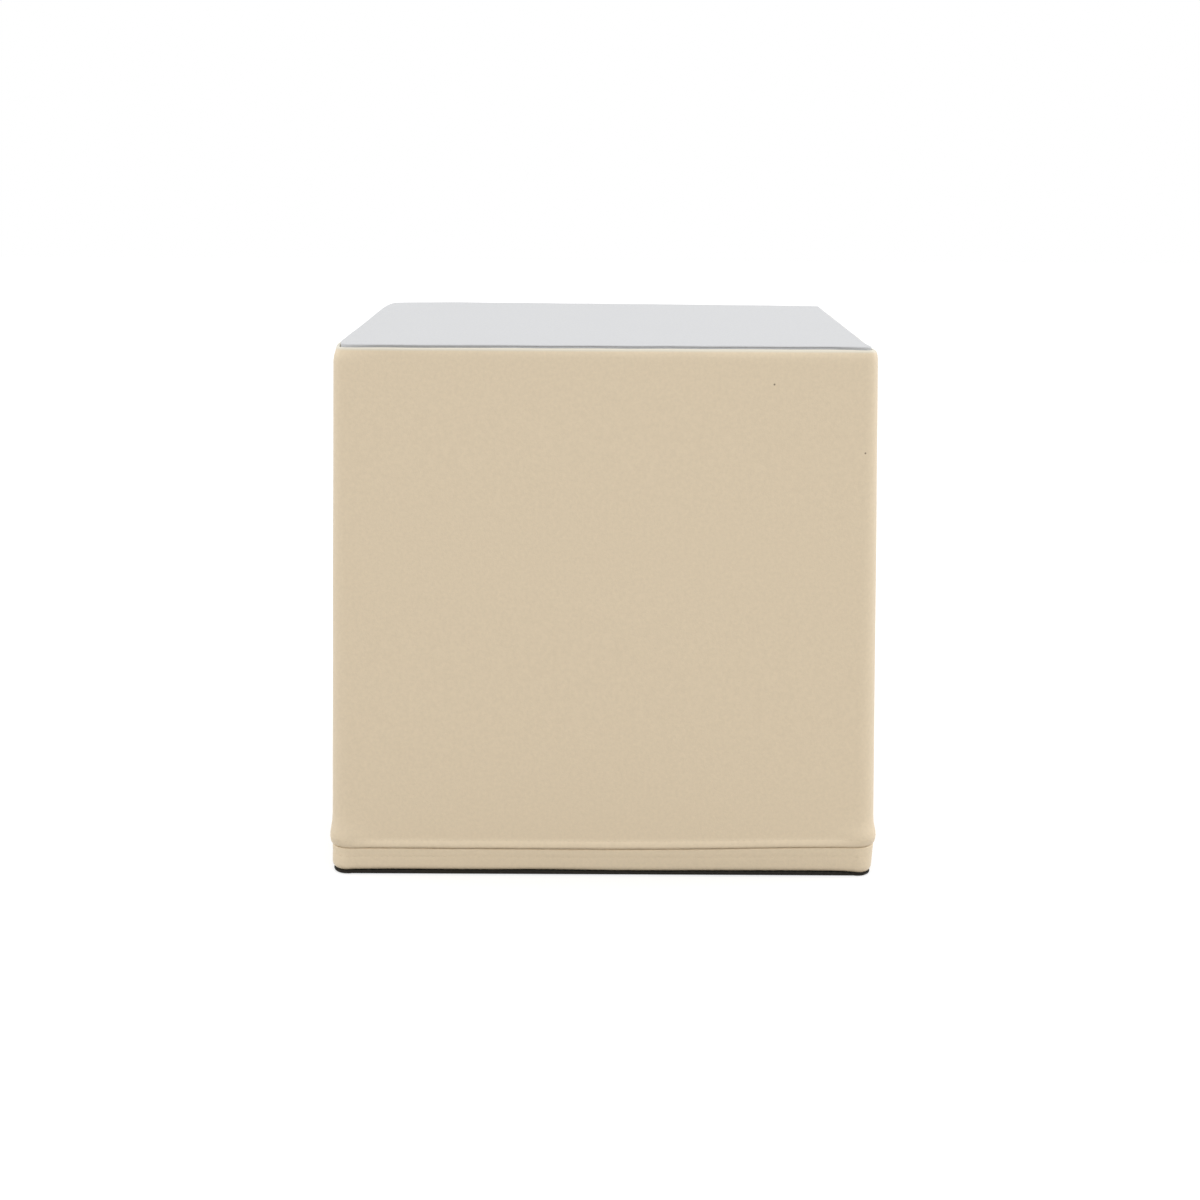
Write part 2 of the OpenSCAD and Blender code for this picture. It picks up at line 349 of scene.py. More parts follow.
class Section:
    """Draws a section of cloth by leading one point along its outer surface."""

    def __init__(self, name, s, u, z):
        self.s = s
        self.tip = (u, z)
        clear_selection()
        bpy.ops.mesh.primitive_plane_add(size=START_SIZE)
        self.piece = bpy.context.object
        name_piece(self.piece, name)
        bpy.ops.object.mode_set(mode="EDIT")
        bpy.ops.mesh.select_mode(type="VERT")
        bpy.ops.mesh.select_all(action="SELECT")
        bpy.ops.mesh.merge(type="CENTER")
        bpy.ops.transform.translate(value=section_point(s, u, z))

    def lead(self, u, z):
        step = Vector((0, u - self.tip[0], z - self.tip[1]))
        bpy.ops.mesh.extrude_region_move(TRANSFORM_OT_translate={"value": step})
        self.tip = (u, z)

    def fold(self, u, z, turn):
        """Turns the tip about a centre, anticlockwise where the section has u to the right."""
        count = max(2, round(self.s.fold_steps * abs(turn) / pi))
        bpy.ops.mesh.spin(steps=count, angle=-turn, center=section_point(self.s, u, z), axis=(1, 0, 0))
        du, dz = self.tip[0] - u, self.tip[1] - z
        self.tip = (u + du * cos(turn) - dz * sin(turn), z + du * sin(turn) + dz * cos(turn))

    def carry_round(self):
        """Carries the section along the four sides and round the four upright edges."""
        s, p = self.s, layout(self.s)
        bpy.ops.mesh.select_all(action="SELECT")
        for side in range(4):
            turn = side * pi / 2
            run = p.run_w if side % 2 == 0 else p.run_d
            bpy.ops.mesh.extrude_region_move(
                TRANSFORM_OT_translate={"value": (run * cos(turn), run * sin(turn), 0)})
            x = p.run_w / 2 * (1 if side in (0, 1) else -1)
            y = p.run_d / 2 * (1 if side in (1, 2) else -1)
            bpy.ops.mesh.spin(steps=s.corner_steps, angle=-pi / 2, center=(x, y, 0), axis=(0, 0, 1))
        merge_doubles()
        return self.piece


def merge_doubles():
    bpy.ops.mesh.select_all(action="SELECT")
    bpy.ops.mesh.remove_doubles(threshold=MERGE_DISTANCE)


def select_edges(piece, wanted):
    """Selects the edges of a piece in edit mode for which wanted(run of the edge) is true."""
    bpy.ops.mesh.select_mode(type="EDGE")
    bpy.ops.mesh.select_all(action="DESELECT")
    mesh = bmesh.from_edit_mesh(piece.data)
    for edge in mesh.edges:
        edge.select = wanted(edge.verts[1].co - edge.verts[0].co)
    bmesh.update_edit_mesh(piece.data)


def split_long_edges(piece, s):
    """Gives the straight sides and the flat faces enough points to be shaped."""
    select_edges(piece, lambda run: run.length > LONG_EDGE and abs(run.z) < MERGE_DISTANCE)
    bpy.ops.mesh.subdivide(number_cuts=s.run_steps - 1)
    select_edges(piece, lambda run: abs(run.z) > LONG_EDGE)
    bpy.ops.mesh.subdivide(number_cuts=s.face_steps - 1)


def fill_middle(s, z):
    """Adds the flat middle to the piece in edit mode, as a grid that meets the rim point by point."""
    p = layout(s)
    bpy.ops.mesh.select_all(action="DESELECT")
    bpy.ops.mesh.primitive_grid_add(
        x_subdivisions=s.run_steps, y_subdivisions=s.run_steps, size=1, location=(0, 0, z))
    bpy.ops.transform.resize(value=(p.run_w, p.run_d, 1), center_override=(0, 0, z))
    merge_doubles()


def ease_points(piece, rule):
    """Moves every point of a piece by a rule of its place."""
    bpy.ops.object.mode_set(mode="OBJECT")
    for point in piece.data.vertices:
        point.co += rule(point.co)
    piece.data.update()


def face_outwards(piece):
    """Turns all the faces of a piece outwards and shades it smooth."""
    bpy.ops.object.mode_set(mode="EDIT")
    bpy.ops.mesh.select_all(action="SELECT")
    bpy.ops.mesh.normals_make_consistent(inside=False)
    bpy.ops.object.mode_set(mode="OBJECT")
    bpy.ops.object.shade_smooth_by_angle(angle=SMOOTH_ANGLE)


def thicken(piece, thickness):
    """Turns the outer surface into cloth of the given thickness and shades it smooth."""
    face_outwards(piece)
    wall = piece.modifiers.new("Cloth", "SOLIDIFY")
    wall.thickness = thickness
    wall.offset = -1
    bpy.ops.object.modifier_apply(modifier=wall.name)
    bpy.ops.object.shade_smooth_by_angle(angle=SMOOTH_ANGLE)


def on_floor(place):
    return Vector((place.x, place.y, 0))


def outward(s, place):
    """Level direction out of the block at a place, and how deep the place lies behind the side."""
    axis = Vector((clamp(place.x, s.half_w - s.corner_r), clamp(place.y, s.half_d - s.corner_r), 0))
    away = on_floor(place) - axis
    if away.length < MERGE_DISTANCE:
        return Vector(), s.corner_r
    return away.normalized(), s.corner_r - away.length


def near_corner(s, place, reach):
    """1 at an upright edge, fading to 0 along the sides."""
    return exp(-((s.half_w - abs(place.x)) ** 2 + (s.half_d - abs(place.y)) ** 2) / reach ** 2)


def outline(s, pitch):
    """Places at about one pitch along the four sides and round the upright edges, with their turn."""
    p = layout(s)
    found = []
    for side in range(4):
        turn = side * pi / 2
        ahead = Vector((cos(turn), sin(turn), 0))
        out = Vector((sin(turn), -cos(turn), 0))
        run = p.run_w if side % 2 == 0 else p.run_d
        half = s.half_d if side % 2 == 0 else s.half_w
        count = round(run / pitch)
        for step in range(count):
            found.append((out * half + ahead * run * ((step + 0.5) / count - 0.5), turn))
        centre = out * (half - s.corner_r) + ahead * run / 2
        count = round(pi / 2 * s.corner_r / pitch)
        for step in range(count):
            bend = turn + (step + 0.5) / count * pi / 2
            found.append((centre + s.corner_r * Vector((sin(bend), -cos(bend), 0)), bend))
    return found


def uneven(place, span, seed):
    """Smooth unevenness from about -1 to 1, the same on every run."""
    return 2 * noise.noise(Vector(place) / span + Vector((seed, -seed, seed)))


def uneven_share(place, span, seed):
    """Smooth unevenness from 0 to 1, the same on every run."""
    return 0.5 + 0.5 * clamp(uneven(place, span, seed), 1)


def spread_out(s, e, place):
    """How far the sides lie outside their drawn place at a height."""
    return e.spread * (1 - place.z / s.height)


def sideways(s, e, place):
    """Share that grows from the left side to the right side, and is 1 in the middle."""
    return 1 + e.lean * place.x / s.half_w


def hem_stand_out(s, p, z):
    """How far the hem stands out of the side at a height: it curves out below its crease."""
    share = share_between(p.crease_z - z, 0, p.crease_z - p.hem_z)
    return s.hem_proud * (1 - (1 - share) ** 2)


def corner_bulge(e, p, z):
    """How far the hem bulges out at the upright edges at a height."""
    peak_z = p.crease_z + e.hem_bulge_z
    return e.hem_bulge * hump(z, peak_z, e.hem_bulge_up if z > peak_z else e.hem_bulge_down)


def zip_line_drop(s, e, place):
    """How far both folded edges of the zip line drop at a place."""
    wave = ZIP_PUCKER_SHARE * e.pucker * uneven(on_floor(place), e.drift_span, ZIP_SEED)
    sag = e.zip_sag * near_corner(s, place, e.hem_reach)
    return wave + sag - e.zip_tilt * ramp(place.x, 0, s.half_w)


def zip_closing(s, e, place):
    """How far each folded edge moves over the zip at a place."""
    corner = near_corner(s, place, 2 * e.corner_reach)
    return e.zip_close * (ZIP_CLOSE_SHARE + ZIP_CORNER_SHARE * corner)


def foot_drop(s, e, place):
    """How far the base's folded edge, and the band on it, are pressed down at a place."""
    wave = e.base_wave * uneven_share(on_floor(place), e.base_wave_span, BASE_SEED)
    sag = e.foot_sag * sideways(s, e, place) * near_corner(s, place, e.foot_reach)
    return e.base_press + wave + sag


def corner_fill(e, out):
    """How far an upright edge's foot is filled out to the front or back, by its outward direction."""
    fill = e.foot_fill * max(0.0, abs(out.x) + abs(out.y) - 1)
    return Vector((0, copysign(fill, out.y), 0))


def slack_share(s, e, place):
    """1 at the back left corner, where the top is slack, fading to 0 around it."""
    away = Vector((place.x + s.half_w, place.y - s.half_d, 0)).length
    return hump(away, 0, e.slack_reach)


def top_seam_lift(s, e, place):
    """How far the top seam lies above or below its drawn height at a place."""
    lift = SEAM_PUCKER_SHARE * e.pucker * uneven(on_floor(place), e.pucker_span, SEAM_SEED)
    lift -= e.corner_sag * near_corner(s, place, e.corner_reach)
    lift += (e.back_rise - e.twist * place.x / s.half_w) * max(0.0, place.y / s.half_d)
    return lift - e.slack_sag * slack_share(s, e, place)


def roll_in(s, e, place):
    """How far the top seam lies inside the sides: more so to the right, less so at the corners."""
    fuller = CORNER_FULL_SHARE - FRONT_FULL_SHARE * place.y / s.half_d
    return e.roll * sideways(s, e, place) * (1 - fuller * near_corner(s, place, e.corner_reach))


def corner_draw(s, e, place):
    """How far a top corner draws in at a place: the left corners more so, the slack one most."""
    draw = e.shoulder * (2 - sideways(s, e, place)) * near_corner(s, place, e.corner_reach)
    return draw + e.slack_draw * slack_share(s, e, place)


def closing_seam(e, place, out):
    """Depth of the valley where the wrap's two ends are sewn together at the back."""
    gap = e.seam_r - abs(place.x)
    if out.y < BACK_FACING_SHARE or gap <= 0:
        return 0.0
    return e.seam_r - sqrt(max(0.0, e.seam_r ** 2 - gap ** 2))


def wrap_rule(s, e):
    """Rule that eases the wrap: its lean, crown and drift, top edge, corners, hem and back seam."""
    p = layout(s)
    middle_z = (p.crease_z + p.top_fold_z) / 2
    half_z = (p.top_fold_z - p.crease_z) / 2

    def rule(place):
        out, depth = outward(s, place)
        corner = near_corner(s, place, e.hem_reach)
        along = place.y / s.half_d if abs(out.x) > abs(out.y) else place.x / s.half_w
        level_share = max(0.0, 1 - along ** 2)
        upright_share = max(0.0, 1 - ((place.z - middle_z) / half_z) ** 2)
        seam = ramp(place.z, p.top_fold_z - 3 * s.top_fold_r, p.top_fold_z)
        shoulder = ramp(place.z, p.wrap_top_z - e.shoulder_h, p.wrap_top_z)
        lip = 1 - ramp(place.z, p.hem_z, p.crease_z)
        hem = 1 - ramp(place.z, p.crease_z, p.crease_z + 3 * s.hem_rise)
        soft = 2 * ramp(place.z, p.wrap_top_z - e.roll_h, p.wrap_top_z + e.roll_h)
        swell = spread_out(s, e, place) + e.crown * level_share * upright_share
        swell += e.drift * upright_share * uneven_share(place, e.drift_span, DRIFT_SEED)
        swell += corner * (corner_bulge(e, p, place.z) - hem_stand_out(s, p, place.z))
        swell -= roll_in(s, e, place) * soft
        swell -= corner_draw(s, e, place) * shoulder ** 2
        swell += WRAP_PUCKER_SHARE * e.pucker * seam * uneven(place, e.pucker_span, WRAP_SEED)
        swell -= closing_seam(e, place, out)
        lift = seam * top_seam_lift(s, e, place)
        if depth > s.top_fold_r and place.z > p.top_fold_z:
            lift += near_corner(s, place, e.corner_reach) * (p.wrap_top_z - place.z)
        lift -= hem * zip_line_drop(s, e, place) + lip * zip_closing(s, e, place)
        return out * swell + Vector((0, 0, lift))

    return rule


def band_rule(s, e):
    """Rule that eases the lower band: its lean, bulge, tuck, stitch line, zip edge and foot."""
    p = layout(s)

    def rule(place):
        out = outward(s, place)[0]
        corner = near_corner(s, place, e.hem_reach)
        upper = ramp(place.z, p.band_roll_z, p.band_fold_z)
        fold = ramp(place.z, p.band_fold_z - 2 * p.band_fold_r, p.band_fold_z)
        foot = 1 - ramp(place.z, BAND_LOW.z, p.band_hem_z)
        drop = max(0.0, BAND_HIGH.z - place.z) / (BAND_HIGH.z - p.band_roll_z)
        swell = spread_out(s, e, place) + corner * corner_bulge(e, p, place.z)
        swell += BAND_PUCKER_SHARE * e.pucker * upper * uneven(place, e.pucker_span, BAND_SEED)
        swell -= e.band_tuck * sideways(s, e, place) * drop ** BAND_TUCK_POWER
        swell -= e.stitch_sink * hump(place.z, p.stitch_z, STITCH_LINE_H)
        lift = fold * zip_closing(s, e, place) - upper * zip_line_drop(s, e, place)
        lift -= foot * foot_drop(s, e, place)
        return out * swell + min(1.0, drop) * corner_fill(e, out) + Vector((0, 0, lift))

    return rule


def top_rule(s, e):
    """Rule that eases the top panel: its rim follows the wrap's top fold, and its middle lies flat."""
    p = layout(s)

    def rule(place):
        out, depth = outward(s, place)
        rim = 1 - ramp(depth, p.top_flat_u, s.corner_r)
        rise = ramp(place.z, p.top_allowance_z, p.top_edge_z)
        soft = ramp(place.z, p.wrap_top_z - e.roll_h, p.wrap_top_z)
        below = 1 - ramp(place.z, p.top_edge_z - s.top_undercut, p.top_edge_z)
        swell = spread_out(s, e, place)
        swell -= rim * (corner_draw(s, e, place) * rise + roll_in(s, e, place) * soft)
        swell += s.top_undercut * rim * below * near_corner(s, place, e.corner_reach)
        lift = top_seam_lift(s, e, place) * rise
        if depth >= s.corner_r:
            lift = inner_lift(s, e, place)
        return out * swell + Vector((0, 0, lift))

    return rule


def inner_lift(s, e, place):
    """Height of the top's flat middle: its rim follows the seam, and the rest lies almost flat."""
    from_rim = min(s.half_w - abs(place.x), s.half_d - abs(place.y)) - s.corner_r
    rim = 1 - ramp(from_rim, 0, 3 * e.corner_reach)
    calm = TOP_DRIFT_SHARE * e.drift * uneven(place, e.drift_span, MIDDLE_SEED)
    return rim * top_seam_lift(s, e, place) + (1 - rim) * calm


def base_rule(s, e):
    """Rule that eases the base: its lean, its stand-out at front and back, and its pressed edge."""

    def rule(place):
        out = outward(s, place)[0]
        side = sideways(s, e, place)
        stand_out = (2 - side) * out.y ** 2 - BASE_SIDE_SHARE * side * out.x ** 2
        swell = spread_out(s, e, place) + e.base_out * stand_out
        lift = -ramp(place.z, 0, BASE_HIGH.z) * foot_drop(s, e, place)
        return out * swell + corner_fill(e, out) + Vector((0, 0, lift))

    return rule


def foam_rule(s, e):
    """Rule that eases the foam, so that it stays inside the cover."""

    def rule(place):
        out, depth = outward(s, place)
        upper = ramp(place.z, FOAM_HIGH.z - 4 * e.shoulder_h, FOAM_HIGH.z)
        swell = spread_out(s, e, place) - (corner_draw(s, e, place) + roll_in(s, e, place)) * upper
        lift = top_seam_lift(s, e, place)
        if depth >= s.corner_r:
            lift = inner_lift(s, e, place)
        return out * swell + Vector((0, 0, upper * (lift - e.foam_ease)))

    return rule


def cover_with(piece, material):
    piece.data.materials.clear()
    piece.data.materials.append(material)


def dress(piece, material, node):
    """Gives a cover piece its finish, hangs it on the body and hides the solid that it stands for."""
    cover_with(piece, material)
    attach(piece, BODY)
    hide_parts(node)


def new_material(name):
    """A material with its node tree, its shader and the place on the piece that its patterns read."""
    material = bpy.data.materials.new(name)
    material.use_nodes = True
    tree = material.node_tree
    shader = tree.nodes["Principled BSDF"]
    place = tree.nodes.new("ShaderNodeTexCoord")
    return material, tree, shader, place.outputs["Object"]


def add_node(tree, kind, **values):
    """Adds a shader node and sets its plain values and the defaults of its named inputs."""
    made = tree.nodes.new(kind)
    for name, value in values.items():
        if hasattr(made, name):
            setattr(made, name, value)
        else:
            made.inputs[name.replace("_", " ").title()].default_value = value
    return made


def add_pattern(tree, kind, place, **values):
    """Adds a shader node that reads a place."""
    made = add_node(tree, kind, **values)
    tree.links.new(place, made.inputs["Vector"])
    return made


def place_step(tree, operation, place, other=None, **values):
    """Adds one step of arithmetic on a place, with another place where it takes two."""
    made = add_node(tree, "ShaderNodeVectorMath", operation=operation, **values)
    tree.links.new(place, made.inputs[0])
    if other is not None:
        made.inputs[1].default_value = other
    return made


def map_range(tree, value, **ends):
    """Takes a value from one range to another, each from 0 to 1 unless its ends are given."""
    made = add_node(tree, "ShaderNodeMapRange", **ends)
    tree.links.new(value, made.inputs["Value"])
    return made.outputs["Result"]


def two_tones(tree, pattern, shade, dark, light=1.0, low=0.35, high=0.65):
    """Colour that goes from a dark to a light share of a shade as a pattern goes from low to high."""
    tones = tree.nodes.new("ShaderNodeValToRGB")
    for index, position, share in ((0, low, dark), (1, high, light)):
        end = tones.color_ramp.elements[index]
        end.position = position
        end.color = (*(min(1.0, c * share) for c in shade), 1)
    tree.links.new(pattern, tones.inputs["Fac"])
    return tones.outputs["Color"]


def mix_tone(tree, mask, tone, shade):
    """Goes over from a tone to a plain shade where a mask is 1."""
    mixed = add_node(tree, "ShaderNodeMixRGB", color2=(*shade, 1))
    tree.links.new(mask, mixed.inputs["Fac"])
    tree.links.new(tone, mixed.inputs["Color1"])
    return mixed.outputs["Color"]


def raise_bump(tree, shader, height, strength, distance):
    bump = add_node(tree, "ShaderNodeBump", strength=strength, distance=distance)
    tree.links.new(height, bump.inputs["Height"])
    tree.links.new(bump.outputs["Normal"], shader.inputs["Normal"])


def add_speck(tree, place, tone, speck):
    """Darkens the tone round one point."""
    centre, radius, shade = speck
    away = place_step(tree, "DISTANCE", place, centre)
    mask = map_range(tree, away.outputs["Value"], from_min=radius, from_max=SPECK_CORE_SHARE * radius)
    return mix_tone(tree, mask, tone, shade)


def add_painted_fold_highlight(tree, place, tone, low_z, high_z, shade):
    """Paints a highlight: pales the tone from one height to another, where the cloth is bent round a
    fold and turns up to the light.
    """
    parts = add_pattern(tree, "ShaderNodeSeparateXYZ", place)
    mask = map_range(
        tree, parts.outputs["Z"], interpolation_type="SMOOTHSTEP", from_min=low_z, from_max=high_z)
    return mix_tone(tree, mask, tone, shade)


def leatherette(name, shade, specks=(), fold=None):
    """Matt leatherette: fine pebble grain, fine mottle, small dark specks, and any painted highlight
    that pales a fold.
    """
    material, tree, shader, place = new_material(name)
    link = tree.links.new
    mottle = add_pattern(tree, "ShaderNodeTexNoise", place, scale=520.0, detail=3.0, roughness=0.6)
    tone = two_tones(tree, mottle.outputs["Fac"], shade, dark=0.965, light=1.035, low=0.3, high=0.7)
    # A fold is a painted highlight: the tone is paled where the cloth turns up to the light
    if fold:
        tone = add_painted_fold_highlight(tree, place, tone, *fold)
    for speck in specks:
        tone = add_speck(tree, place, tone, speck)
    link(tone, shader.inputs["Base Color"])
    pebble = add_pattern(tree, "ShaderNodeTexVoronoi", place, feature="SMOOTH_F1", scale=1500.0)
    fibre = add_pattern(tree, "ShaderNodeTexNoise", place, scale=700.0, detail=4.0)
    grain = add_node(tree, "ShaderNodeMath", operation="ADD")
    link(pebble.outputs["Distance"], grain.inputs[0])
    link(fibre.outputs["Fac"], grain.inputs[1])
    raise_bump(tree, shader, grain.outputs["Value"], strength=0.4, distance=0.0001)
    link(map_range(tree, fibre.outputs["Fac"], to_min=0.36, to_max=0.5), shader.inputs["Roughness"])
    shader.inputs["Specular IOR Level"].default_value = 0.5
    return material


def anti_slip_cloth(name, shade):
    """Near-black cloth with rows of small raised grip dots."""
    material, tree, shader, place = new_material(name)
    link = tree.links.new
    cells = place_step(tree, "SCALE", place, scale=1 / GRIP_PITCH)
    cell = place_step(tree, "FRACTION", cells.outputs["Vector"])
    from_middle = place_step(tree, "SUBTRACT", cell.outputs["Vector"], (0.5, 0.5, 0.5))
    level = place_step(tree, "MULTIPLY", from_middle.outputs["Vector"], (1, 1, 0))
    away = place_step(tree, "LENGTH", level.outputs["Vector"])
    dot = map_range(
        tree, away.outputs["Value"], interpolation_type="SMOOTHSTEP", from_min=0.34, from_max=0.22)
    fibre = add_pattern(tree, "ShaderNodeTexNoise", place, scale=900.0, detail=5.0)
    tone = two_tones(tree, fibre.outputs["Fac"], shade, dark=0.75, light=1.25)
    link(tone, shader.inputs["Base Color"])
    height = add_node(tree, "ShaderNodeMath", operation="MULTIPLY_ADD")
    height.inputs[1].default_value = 0.3
    link(fibre.outputs["Fac"], height.inputs[0])
    link(dot, height.inputs[2])
    raise_bump(tree, shader, height.outputs["Value"], strength=0.6, distance=0.0003)
    link(map_range(tree, dot, to_min=0.9, to_max=0.55), shader.inputs["Roughness"])
    shader.inputs["Specular IOR Level"].default_value = 0.3
    return material


def cut_foam(name, shade):
    """Open-cell foam with small pores on its cut faces."""
    material, tree, shader, place = new_material(name)
    pores = add_pattern(tree, "ShaderNodeTexVoronoi", place, scale=900.0)
    tone = two_tones(tree, pores.outputs["Distance"], shade, dark=0.82, low=0.1, high=0.5)
    tree.links.new(tone, shader.inputs["Base Color"])
    raise_bump(tree, shader, pores.outputs["Distance"], strength=0.7, distance=0.0005)
    shader.inputs["Roughness"].default_value = 0.95
    shader.inputs["Specular IOR Level"].default_value = 0.1
    return material


def woven_tape(name, shade):
    """Twill tape: fine slanted ribs."""
    material, tree, shader, place = new_material(name)
    slant = add_pattern(tree, "ShaderNodeMapping", place, rotation=(radians(40), radians(40), 0))
    ribs = add_pattern(tree, "ShaderNodeTexWave", slant.outputs["Vector"], scale=500.0, distortion=0.6)
    tone = two_tones(tree, ribs.outputs["Fac"], shade, dark=0.8, low=0.2, high=0.8)
    tree.links.new(tone, shader.inputs["Base Color"])
    raise_bump(tree, shader, ribs.outputs["Fac"], strength=0.5, distance=0.0001)
    shader.inputs["Roughness"].default_value = 0.85
    return material


def nylon_coil(name, shade):
    """Closed coil: fine unevenness, with a little gloss."""
    material, tree, shader, place = new_material(name)
    speckle = add_pattern(tree, "ShaderNodeTexNoise", place, scale=1600.0, detail=2.0)
    tone = two_tones(tree, speckle.outputs["Fac"], shade, dark=0.85)
    tree.links.new(tone, shader.inputs["Base Color"])
    raise_bump(tree, shader, speckle.outputs["Fac"], strength=0.5, distance=0.0002)
    shader.inputs["Roughness"].default_value = 0.4
    return material


def sewing_thread(name, shade):
    """Twisted polyester thread."""
    material, tree, shader, place = new_material(name)
    slant = add_pattern(tree, "ShaderNodeMapping", place, rotation=(0, radians(35), radians(35)))
    twist = add_pattern(tree, "ShaderNodeTexWave", slant.outputs["Vector"], scale=1300.0)
    tone = two_tones(tree, twist.outputs["Fac"], shade, dark=0.86, light=1.03, low=0.1, high=0.7)
    tree.links.new(tone, shader.inputs["Base Color"])
    raise_bump(tree, shader, twist.outputs["Fac"], strength=0.5, distance=0.00005)
    shader.inputs["Roughness"].default_value = 0.6
    return material


def seen_directly(tree):
    """1 for a ray from the camera, or one that a gloss or a glass has sent on, and 0 for light."""
    path = tree.nodes.new("ShaderNodeLightPath")
    total = path.outputs["Is Camera Ray"]
    for name in ("Is Glossy Ray", "Is Transmission Ray"):
        either = add_node(tree, "ShaderNodeMath", operation="MAXIMUM")
        tree.links.new(total, either.inputs[0])
        tree.links.new(path.outputs[name], either.inputs[1])
        total = either.outputs["Value"]
    return total


class PLAYCUBE_OT_studio(bpy.types.Operator):
    """Sets the camera, the lamps, the sky and the floor"""

    bl_idname = "playcube.studio"
    bl_label = "Studio"

    def execute(self, context):
        look = context.scene.playcube_studio
        context.scene.view_settings.view_transform = "Standard"
        self.camera(context, look)
        self.lamp("Left lamp", look.left_lamp, -LAMP_X)
        self.lamp("Right lamp", look.right_lamp, LAMP_X)
        self.sky(context, look)
        self.floor(context, look)
        return {"FINISHED"}

    def camera(self, context, look):
        clear_selection()
        bpy.ops.object.camera_add()
        camera = context.object
        camera.name = "Camera"
        camera.data.lens = look.lens
        camera.data.sensor_width = SENSOR_W
        camera.data.shift_y = look.shift
        camera.location = look.camera
        turned = Matrix.Rotation(look.yaw, 4, "Z") @ Matrix.Rotation(pi / 2 - look.pitch, 4, "X")
        camera.rotation_euler = (turned @ Matrix.Rotation(look.roll, 4, "Z")).to_euler()
        context.scene.camera = camera

    def lamp(self, name, power, x):
        """Adds a square lamp that faces the middle of the cube."""
        clear_selection()
        bpy.ops.object.light_add(type="AREA", location=(x, LAMP_Y, LAMP_Z))
        lamp = bpy.context.object
        lamp.name = name
        lamp.data.energy = power
        lamp.data.size = LAMP_SIZE
        aim = Vector((0, 0, TOP_HIGH.z / 2)) - lamp.location
        lamp.rotation_euler = aim.to_track_quat("-Z", "Y").to_euler()

    def sky(self, context, look):
        """Adds an even white sky, which is plain white where it is looked at."""
        world = bpy.data.worlds.new("Sky")
        context.scene.world = world
        world.use_nodes = True
        tree = world.node_tree
        glow = tree.nodes["Background"]
        glow.inputs["Color"].default_value = WHITE
        strength = map_range(tree, seen_directly(tree), to_min=look.sky, to_max=1.0)
        tree.links.new(strength, glow.inputs["Strength"])

    def floor(self, context, look):
        """Adds the floor just below the cube: it glows where it is looked at, and keeps the shadow."""
        clear_selection()
        bpy.ops.mesh.primitive_plane_add(size=FLOOR_SIZE, location=(0, 0, 0))
        floor = context.object
        floor.name = "Floor"
        bpy.ops.object.mode_set(mode="EDIT")
        bpy.ops.mesh.subdivide(number_cuts=FLOOR_CUTS)
        bpy.ops.transform.translate(value=(0, 0, -FLOOR_GAP))
        bpy.ops.object.mode_set(mode="OBJECT")
        material, tree, shader, _ = new_material("Floor")
        shader.inputs["Base Color"].default_value = (*context.scene.playcube_colours.floor, 1)
        shader.inputs["Roughness"].default_value = 0.95
        shader.inputs["Specular IOR Level"].default_value = 0.0
        shader.inputs["Emission Color"].default_value = WHITE
        strength = map_range(tree, seen_directly(tree), to_max=look.floor_glow)
        tree.links.new(strength, shader.inputs["Emission Strength"])
        floor.data.materials.append(material)


class PLAYCUBE_OT_side_wrap(bpy.types.Operator):
    """Sews the beige wrap: top fold, four flat sides in one length, flared hem and closing seam"""

    bl_idname = "playcube.side_wrap"
    bl_label = "Side wrap"

    def execute(self, context):
        s, e = context.scene.playcube_sizes, context.scene.playcube_ease
        p = layout(s)
        section = Section("side_wrap_cover", s, 2 * s.top_fold_r, p.top_allowance_z)
        section.lead(2 * s.top_fold_r, p.top_fold_z)
        section.fold(s.top_fold_r, p.top_fold_z, pi)
        for drop in WRAP_DROPS:
            section.lead(0, p.top_fold_z - drop)
        for rise in WRAP_RISES:
            section.lead(0, p.crease_z + rise)
        for share in HEM_SHARES:
            z = p.crease_z + share * (p.hem_z - p.crease_z)
            section.lead(-hem_stand_out(s, p, z), z)
        section.fold(p.hem_u, p.hem_z, pi)
        section.lead(p.hem_depth, p.hem_z + s.hem_allowance)
        piece = section.carry_round()
        split_long_edges(piece, s)
        self.open_seam_line(piece, s, e)
        ease_points(piece, wrap_rule(s, e))
        thicken(piece, s.cloth_t)
        dress(piece, self.finish(context, s, e, p), "side_wrap")
        return {"FINISHED"}

    def open_seam_line(self, piece, s, e):
        """Cuts upright lines into the middle of the back, where the wrap's two ends meet."""
        for share in BACK_SEAM_SHARES:
            bpy.ops.mesh.select_mode(type="FACE")
            bpy.ops.mesh.select_all(action="DESELECT")
            mesh = bmesh.from_edit_mesh(piece.data)
            for face in mesh.faces:
                middle = face.calc_center_median()
                face.select = middle.y > s.half_d - s.corner_r and abs(middle.x) < s.corner_r
            bmesh.update_edit_mesh(piece.data)
            bpy.ops.mesh.bisect(plane_co=(share * e.seam_r, 0, 0), plane_no=(1, 0, 0))

    def finish(self, context, s, e, p):
        """Beige leatherette with the two specks on the front and the painted highlight that pales the
        top fold.
        """
        colours = context.scene.playcube_colours
        specks = []
        for x, z in SPECKS:
            centre = Vector((x, -s.half_d, z))
            centre.y -= spread_out(s, e, centre)
            specks.append((centre, SPECK_R, colours.speck))
        # Painted highlight along the top fold, between these two heights
        fold = (p.top_fold_z - s.top_fold_r, p.top_fold_z + s.top_fold_r / 2, colours.fold)
        return leatherette("Beige leatherette", colours.beige, specks, fold)


